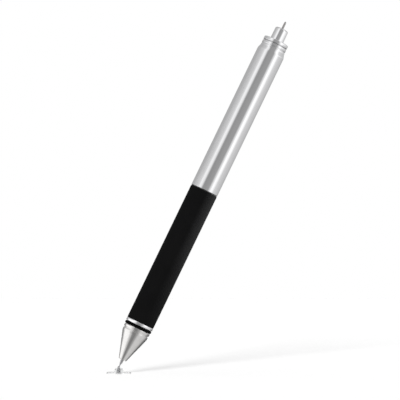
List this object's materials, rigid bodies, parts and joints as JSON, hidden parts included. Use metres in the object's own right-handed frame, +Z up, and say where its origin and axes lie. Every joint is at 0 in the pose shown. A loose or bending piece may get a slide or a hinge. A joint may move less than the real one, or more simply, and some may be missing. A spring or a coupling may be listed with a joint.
{
  "type": "stylus pen",
  "caption": "Slim two-ended pen: a clear tilting touch disc on a ball joint under a metal cone, a rubber grip, and a metal barrel that twists to slide a ballpoint out of its nozzle.",
  "frame": {"origin": "middle of the touch disc's underside, on the surface that the pen is used on", "axes": "+Z up from that surface, +X the way the pen leans, +Y away from the viewer"},
  "size_m": [0.0635, 0.01, 0.1233],
  "materials": {
    "clear_disc": "clear, polished",
    "polished_steel": "polished",
    "satin_aluminium": "fine satin, drawn along the axis",
    "plain_aluminium": "as turned",
    "bright_ring": "mirror polished",
    "grip_rubber": "matt, fine moulded texture",
    "ring_rubber": "smooth",
    "washer_black": "moulded",
    "white_acetal": "moulded",
    "brass": "turned",
    "spring_steel": "bright drawn"
  },
  "bodies": {
    "disc": {"touch_disc": "clear_disc", "disc_socket": "polished_steel"},
    "stud": {"ball_stud": "polished_steel"},
    "grip": {"nose_cone": "polished_steel", "stud_retainer": "spring_steel", "front_collar": "bright_ring", "cap_o_ring": "ring_rubber", "grip_sleeve": "grip_rubber", "grip_core": "plain_aluminium", "thrust_washer": "washer_black", "retaining_clip": "spring_steel", "guide_plug": "white_acetal", "guide_tube": "spring_steel"},
    "barrel": {"upper_barrel": "satin_aluminium", "bearing_bush": "brass", "cam_collar": "brass", "cam_tube": "brass", "pen_nozzle": "satin_aluminium"},
    "refill": {"refill_carrier": "white_acetal", "drive_pin": "spring_steel", "refill_tube": "brass", "refill_tip": "polished_steel"},
    "roller": {"writing_ball": "spring_steel"}
  },
  "joints": [
    {"name": "disc_swing", "type": "hinge", "parent": "grip", "child": "stud", "pos_m": [0, 0, 0.0023], "axis": [0.4352, 0, 0.9003], "continuous": true},
    {"name": "disc_tilt", "type": "hinge", "parent": "stud", "child": "disc", "pos_m": [0, 0, 0.0023], "axis": [0, 1, 0], "range_deg": [-9.2, 60.8]},
    {"name": "barrel_twist", "type": "hinge", "parent": "grip", "child": "barrel", "pos_m": [0.0299, 0, 0.06416], "axis": [0.4352, 0, 0.9003], "range_deg": [0, 180]},
    {"name": "refill_slide", "type": "slide", "parent": "grip", "child": "refill", "axis": [0.4352, 0, 0.9003], "range_m": [-0.004, 0]},
    {"name": "ball_roll", "type": "hinge", "parent": "refill", "child": "roller", "pos_m": [0.05839, 0, 0.12309], "axis": [0, 1, 0], "continuous": true}
  ],
  "couplings": [
    {"joint": "refill_slide", "follows": "barrel_twist", "m_per_rad": -0.0012732}
  ]
}
